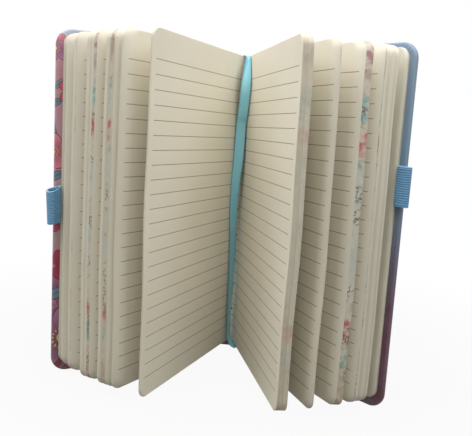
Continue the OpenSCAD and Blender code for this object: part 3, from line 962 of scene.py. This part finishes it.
def cover_wrap(name, side, material):
    """Each point of the outline carries the same section: in from the outer face, round the
    board's edge, over to the pages' side, 8 mm in, and back along the board. Two flat panels
    close it. On the round corners the turn-in is ruffled by a sine of the angle."""
    outline, away, bend = cover_outline()
    edge_r = 1.0 * mm
    middle_v = (outer_v + turn_v) / 2
    round_out = np.radians(np.linspace(-90, 0, 7))
    section = [(8.3 * mm, outer_v, -8.3 * mm), (3.0 * mm, outer_v, -3.0 * mm)]
    section += [(edge_r - edge_r * math.cos(t), outer_v + edge_r + edge_r * math.sin(t),
        edge_r * (t + math.pi / 2) - edge_r) for t in round_out]
    length = edge_r * (math.pi / 2) - edge_r
    section.append((0.0, middle_v, length + middle_v - outer_v - edge_r))
    start = length + (turn_v - outer_v - 2 * edge_r)
    section += [(edge_r - edge_r * math.cos(t), turn_v - edge_r + edge_r * math.sin(t),
        start + edge_r * t) for t in np.radians(np.linspace(0, 90, 7))]
    last = start + edge_r * math.pi / 2
    section += [(d * mm, turn_v, last + d * mm - edge_r) for d in (1.6, 2.4, 3.4, 5.0, 7.0)]
    section += [(8.2 * mm, turn_v, last + 7.2 * mm), (8.2 * mm, turn_v - wrap_t, last + 7.2 * mm)]
    section += [(wrap_t, turn_v - wrap_t, last), (wrap_t, outer_v + wrap_t, 0.0),
        (8.3 * mm, outer_v + wrap_t, -8.3 * mm)]
    section = np.array(section)
    inset, v, run = section.T
    place = outline[None] - away[None] * inset[:, None, None]
    turn = np.arctan2(away[:, 1], away[:, 0])
    ruffle = np.where(bend > 2 * mm, np.abs(np.sin(turn * 12)) ** 0.6 * np.sin(2 * turn) ** 2, 0)
    window = np.where((v > turn_v - 0.3 * mm), np.exp(-(((inset - 2.2 * mm) / (1.5 * mm)) ** 2)), 0)
    lift = 0.30 * mm * ruffle[None] * window[:, None]
    points = in_cover(place[..., 0], v[:, None] + lift, place[..., 1], side)
    flat = outline[None] + away[None] * run[:, None, None]
    uv = np.stack((-(hinge_run + flat[..., 0]) * side, flat[..., 1]), -1)
    rows, columns = place.shape[:2]
    return build(name, points.reshape(-1, 3), capped_faces(rows, columns), uv.reshape(-1, 2),
        material)


wrap = wrap_material()
wraps = (("front_wrap", 1, "front_cover_skin"), ("back_wrap", -1, "back_cover_skin"))
for name, side, node in wraps:
    skin = cover_wrap(name, side, wrap)
    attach(skin, "front_cover" if side == 1 else "back_cover")
    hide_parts(node)


def spine_wrap(material):
    """A flat sleeve round the stiffener: a rounded rectangle in plan, drawn in at its two ends
    by a quarter circle."""
    corner = 0.55 * mm
    turns = [np.radians(start + np.linspace(0, 90, 8)) for start in (0, 90, 180, 270)]
    across, deep = spine_half - corner, spine_half_t - corner
    centres = [(across, deep), (-across, deep), (-across, -deep), (across, -deep)]
    plan, away = [], []
    for (cx, cy), turn in zip(centres, turns):
        out = np.stack((np.cos(turn), np.sin(turn)), -1)
        plan.append(np.array((cx, cy)) + corner * out)
        away.append(out)
    plan, away = np.concatenate(plan), np.concatenate(away)
    end = np.radians(np.linspace(0, 90, 6))
    z = np.concatenate((corner - corner * np.sin(end)[::-1], np.linspace(2, 181.5, 60) * mm,
        spine_h - corner + corner * np.sin(end)))
    inset = np.concatenate((corner - corner * np.cos(end)[::-1], np.zeros(60),
        corner - corner * np.cos(end)))
    place = plan[None] - away[None] * inset[:, None, None]
    points = np.concatenate((place, np.broadcast_to(z[:, None, None], place.shape[:2] + (1,))), -1)
    uv = np.stack((points[..., 0], points[..., 2]), -1)
    rows, columns = place.shape[:2]
    faces = capped_faces(rows, columns)
    return build("spine_wrap", points.reshape(-1, 3), faces, uv.reshape(-1, 2), material)


spine = spine_wrap(wrap)
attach(spine, "block")
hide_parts("spine_skin")


def joint_strip(name, side, material):
    """The wrap's stretch over the joint: from the spine's side down to the hinge line and out
    over the board's edge, a smooth curve through five places, the same at every height."""
    keys = np.array([(-9.18, 0.62), (-9.40, -0.9), (-9.86, -2.9), (-10.5, -4.85)]) * mm
    board = in_cover(np.array((1.6, 3.4, 5.0, 6.6)) * mm, np.array((0.0, 0.0, -0.10, -0.155)) * mm,
        0.0, 1)[:, :2]
    keys = np.concatenate((keys, board))
    share = np.linspace(0, len(keys) - 1, 46)
    path = np.stack([np.interp(share, range(len(keys)), keys[:, axis]) for axis in (0, 1)], -1)
    for _ in range(14):
        path[1:-1] = path[1:-1] / 2 + (path[:-2] + path[2:]) / 4
    run = run_along(path)
    z = np.concatenate((np.linspace(0.2, 1.2, 4), np.linspace(3, 180.5, 52),
        np.linspace(182.1, 183.3, 4))) * mm
    grid = np.concatenate((np.broadcast_to(path[None], (len(z), len(path), 2)),
        np.broadcast_to(z[:, None, None], (len(z), len(path), 1))), -1).copy()
    grid[..., 0] *= side
    uv = np.stack((np.broadcast_to(-(spine_half + run) * side, grid.shape[:2]), grid[..., 2]), -1)
    return build(name, *sheet_solid(grid, uv, wrap_t * 0.8)[:3], material)


for name, side, body in (("front_joint", 1, "front_cover"), ("back_joint", -1, "back_cover")):
    strip = joint_strip(name, side, wrap)
    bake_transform(strip)


# Pen loops. A 20 mm elastic band is folded into an oval tube at each fore-edge, with its two
# ends glued between the turn-in and the pastedown. One sits above the other, so that they
# pass each other when the notebook is closed. Rubber cords run round it under the braid.
loop_h, loop_w, loop_d = 20 * mm, 7.8 * mm, 6.2 * mm
elastic_t = 0.9 * mm
loop_u = 100.9 * mm
loop_foot = {1: 84.5 * mm, -1: 106.5 * mm}
rib_pitch = 1.15 * mm
elastic_tint, elastic_mottle_and_groove_shade, elastic_rim_highlight = (116, 170, 208), (68, 118, 158), (160, 204, 230)


def elastic_material():
    """Braid: a rib for each rubber cord, wavering a little, crossed by the fine stitch of the
    covering yarn. The grooves are darkened as painted shade, mixed with a random mottle; the top
    rim is lightened as a painted highlight, and the yarn shines softly."""
    material, tree, shader = new_material("braided_elastic")
    uv = own_map(tree)
    place = add(tree, "SeparateXYZ", uv)
    waver = add(tree, "TexNoise", uv, None, 260.0, 2.0, 0.5)
    waver = times(tree, minus(tree, waver, 0.5), 1.1 * mm)
    up = plus(tree, place.node.outputs[1], waver)
    ribs = maths(tree, "SINE", times(tree, up, 2 * math.pi / rib_pitch))
    ribs = ranged(tree, ribs, -1.0, 1.0, 0.0, 1.0)
    yarn = maths(tree, "SINE", times(tree, place, 2 * math.pi / (0.55 * mm)))
    yarn = ranged(tree, yarn, -1.0, 1.0, 0.0, 1.0)
    mottle = add(tree, "TexNoise", uv, None, 500.0, 3.0, 0.6)
    # Painted shade: the ribs' grooves darken the braid, together with a random mottle.
    tone = plus(tree, times(tree, ribs, 0.6), times(tree, mottle, 0.45))
    braid = mixed(tree, tone, linear(*elastic_mottle_and_groove_shade), linear(*elastic_tint))
    # Painted highlight: the braid is lighter near the top rim, where light catches it.
    rim = ranged(tree, place.node.outputs[1], 19.3 * mm, 19.8 * mm, 0.0, 0.8)
    put(tree, shader.inputs["Base Color"], mixed(tree, rim, braid, linear(*elastic_rim_highlight)))
    shader.inputs["Roughness"].default_value = 0.65
    shader.inputs["Sheen Weight"].default_value = 0.25
    height = plus(tree, ribs, times(tree, yarn, 0.25))
    put(tree, shader.inputs["Normal"], bump(tree, height, 0.16 * mm))
    return material


def loop_ring(half_w, half_d, corner, count):
    """A rounded rectangle about its own middle, as points spread evenly by angle: the corner
    circles' centres plus the corner's radius along the angle."""
    turn = np.linspace(0, 2 * np.pi, count, endpoint=False)
    x = np.clip(2.2 * np.cos(turn), -1, 1) * (half_w - corner) + corner * np.cos(turn)
    y = np.clip(2.2 * np.sin(turn), -1, 1) * (half_d - corner) + corner * np.sin(turn)
    return np.stack((x, y), -1)


def sagged(ring, up, amount, flattened):
    """The tube after use: pressed flatter, its walls come together towards the board's edge,
    its outer end hangs lower, most of all at the mouth, and the wall near the pages droops."""
    out = ring[..., 0] / loop_w + 0.5
    near = ring[..., 1] / loop_d + 0.5
    open_here = (1 - flattened) * (1 - amount * 0.62 * np.clip(1 - out / 0.62, 0, 1) ** 0.7)
    centre = -loop_d / 2 * (0.55 + flattened) * (1 - open_here)
    high = np.clip(up / loop_h, 0, 1)[:, None]
    u = ring[..., 0] + amount * out * 0.9 * mm * (high - 0.6)
    v = ring[..., 1] * open_here + centre
    drop = out * (0.9 + 1.3 * high) + 1.5 * near * high**5 * np.clip(out / 0.4, 0, 1)
    return u, v, -amount * drop * mm


def pen_loop(name, side, material):
    """The tube's wall: up its outside with shallow ribs and down its inside, rounded over at
    both rims. The front cover's loop has sagged out of shape."""
    outer = loop_ring(loop_w / 2, loop_d / 2, 2.6 * mm, 64)
    inner = loop_ring(loop_w / 2 - elastic_t, loop_d / 2 - elastic_t, 1.7 * mm, 64)
    share, up = [], []
    rim = np.radians(np.linspace(0, 180, 9))
    rows = np.linspace(0.5, 19.5, 74) * mm
    share += [0.0] * len(rows) + list((1 - np.cos(rim[1:-1])) / 2)
    up += list(rows) + list(19.5 * mm + 0.45 * mm * np.sin(rim[1:-1]))
    share += [1.0] * 12 + list((1 + np.cos(rim[1:-1])) / 2)
    up += list(np.linspace(19.5, 0.5, 12) * mm) + list(0.5 * mm - 0.45 * mm * np.sin(rim[1:-1]))
    share, up = np.array(share), np.array(up)
    ring = outer[None] * (1 - share)[:, None, None] + inner[None] * share[:, None, None]
    swell = np.where(share == 0, 0.05 * mm * np.sin(2 * np.pi * up / rib_pitch), 0)
    out = outer / np.linalg.norm(outer, axis=1, keepdims=True)
    ring = ring + out[None] * swell[:, None, None]
    u, v, drop = sagged(ring, up, *((1.0, 0.0) if side == 1 else (0.12, 0.4)))
    z = loop_foot[side] + up[:, None] + drop
    points = in_cover(loop_u + loop_w / 2 + u, turn_v + loop_d / 2 + v, z, side).reshape(-1, 3)
    around = (side + 1) * 20 * mm + np.linspace(0, 24 * mm, 64)
    uv = np.stack(np.broadcast_arrays(around, up[:, None]), -1).reshape(-1, 2)
    face = grid_faces(len(up) + 1, 64, closed=True) % (len(up) * 64)
    return build(name, points, face, uv, material)


elastic = elastic_material()
elastics = (("front_elastic", 1, "front_pen_loop"), ("back_elastic", -1, "back_pen_loop"))
for name, side, node in elastics:
    loop = pen_loop(name, side, elastic)
    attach(loop, "front_cover" if side == 1 else "back_cover")
    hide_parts(node)


# Ribbon marker. A 6 mm satin ribbon is glued behind the folds, comes over the head of the
# block with a pinched fold and hangs down the gutter: flat to the front at first, then turned
# along the front page, with a curled tail just clear of the floor.
ribbon_t = 0.14 * mm
ribbon_tint, ribbon_painted_sheen, ribbon_dark = (126, 196, 212), (148, 212, 226), (64, 130, 148)
ribbon_keys = np.array([
    (-3.0, -1.12, 143.0, 3.0, -1.12, 143.0, 0.0), (-3.0, -1.12, 178.0, 3.0, -1.12, 178.0, 0.0),
    (-3.0, -1.2, 183.0, 3.0, -1.2, 183.0, 0.1), (-2.2, -4.2, 183.5, 3.0, -4.4, 183.4, 1.0),
    (-0.2, -8.0, 182.6, 2.9, -9.4, 182.4, 2.4), (-0.1, -10.0, 178.6, 3.6, -11.8, 178.6, 2.4),
    (-0.8, -13.8, 169.0, 4.8, -15.6, 169.0, 1.3), (-1.2, -15.0, 162.0, 4.8, -15.8, 162.0, 0.5),
    (-1.7, -14.2, 155.0, 4.3, -14.2, 155.0, 0.0), (-2.3, -13.4, 148.0, 3.6, -12.6, 148.0, 0.0),
    (-2.9, -12.2, 141.0, 2.8, -10.4, 141.0, 0.0), (-3.5, -12.2, 120.5, 2.4, -11.4, 120.5, 0.1),
    (-3.8, -13.0, 106.0, 1.1, -10.9, 106.0, 0.2), (-3.7, -13.2, 92.0, 0.6, -9.6, 92.0, 0.3),
    (-3.3, -12.1, 78.0, 0.3, -7.6, 78.0, 0.3), (-2.9, -11.2, 71.0, 0.2, -6.6, 71.0, 0.3),
    (-2.2, -10.3, 43.0, 0.1, -5.0, 43.0, 0.2), (-1.9, -10.6, 30.0, -0.5, -5.2, 30.0, 0.2),
    (-1.4, -10.8, 16.0, -0.3, -5.2, 16.0, 0.2), (-0.9, -11.4, 9.0, 0.3, -5.8, 8.4, 0.1),
    (1.2, -13.0, 4.6, 2.6, -7.6, 4.4, 0.0), (4.6, -13.4, 2.9, 6.4, -8.2, 3.8, 0.0)])


def smooth_run(keys, count):
    """Places between keys: each stretch bends so that it leaves a key towards the line between
    that key's two neighbours."""
    t = np.linspace(0, len(keys) - 1, count)
    n = np.minimum(t.astype(int), len(keys) - 2)
    f = (t - n)[:, None]
    before, after = keys[np.maximum(n - 1, 0)], keys[np.minimum(n + 2, len(keys) - 1)]
    a, b = keys[n], keys[n + 1]
    return a + f / 2 * ((b - before) + f * ((2 * before - 5 * a + 4 * b - after)
        + f * (3 * (a - b) + after - before)))


def satin_material():
    """Satin: fine cross ribs and a selvedge along each side; a painted sheen lightens the rib
    crowns and soft streaks along the floats.
    """
    material, tree, shader = new_material("satin_ribbon")
    uv = own_map(tree)
    place = add(tree, "SeparateXYZ", uv)
    ribs = maths(tree, "SINE", times(tree, place.node.outputs[1], 2 * math.pi / (0.35 * mm)))
    ribs = ranged(tree, ribs, -1.0, 1.0, 0.0, 1.0)
    side_by = maths(tree, "ABSOLUTE", minus(tree, place, 0.5))
    selvedge = ranged(tree, side_by, 0.42, 0.45, 0.0, 1.0)
    streak = add(tree, "TexNoise", uv, None, 90.0, 3.0, 0.6)
    # Painted sheen: rib crowns and noise streaks are lightened towards a paler blue.
    tone = plus(tree, times(tree, ribs, 0.25), times(tree, streak, 0.75))
    satin = mixed(tree, tone, linear(*ribbon_tint), linear(*ribbon_painted_sheen))
    edge = times(tree, selvedge, 0.5)
    put(tree, shader.inputs["Base Color"], mixed(tree, edge, satin, linear(*ribbon_dark)))
    shader.inputs["Roughness"].default_value = 0.42
    shader.inputs["Sheen Weight"].default_value = 0.3
    shader.inputs["Anisotropic"].default_value = 0.4
    height = plus(tree, ribs, selvedge)
    put(tree, shader.inputs["Normal"], bump(tree, height, 0.05 * mm, 0.7))
    return material


def ribbon(material):
    """Two edges run through their keys, and the width between them sags by a share of one
    less the square of the place across."""
    keys = smooth_run(ribbon_keys, 260)
    left, right, sag = keys[:, None, 0:3] * mm, keys[:, None, 3:6] * mm, keys[:, 6] * mm
    w = np.linspace(0, 1, 13)[None, :, None]
    points = left * (1 - w) + right * w
    points[..., 1] += sag[:, None] * (1 - (2 * w[..., 0] - 1) ** 2)
    centre = points.mean(axis=1)
    run = run_along(centre)
    uv = np.stack((np.broadcast_to(w[..., 0], points.shape[:2]),
        np.broadcast_to(run[:, None], points.shape[:2])), -1)
    points, faces, uv, flat = sheet_solid(points, uv, ribbon_t)
    return build("satin_marker", points, faces, uv, material, flat)


marker = ribbon(satin_material())
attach(marker, "block")
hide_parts("ribbon_marker")
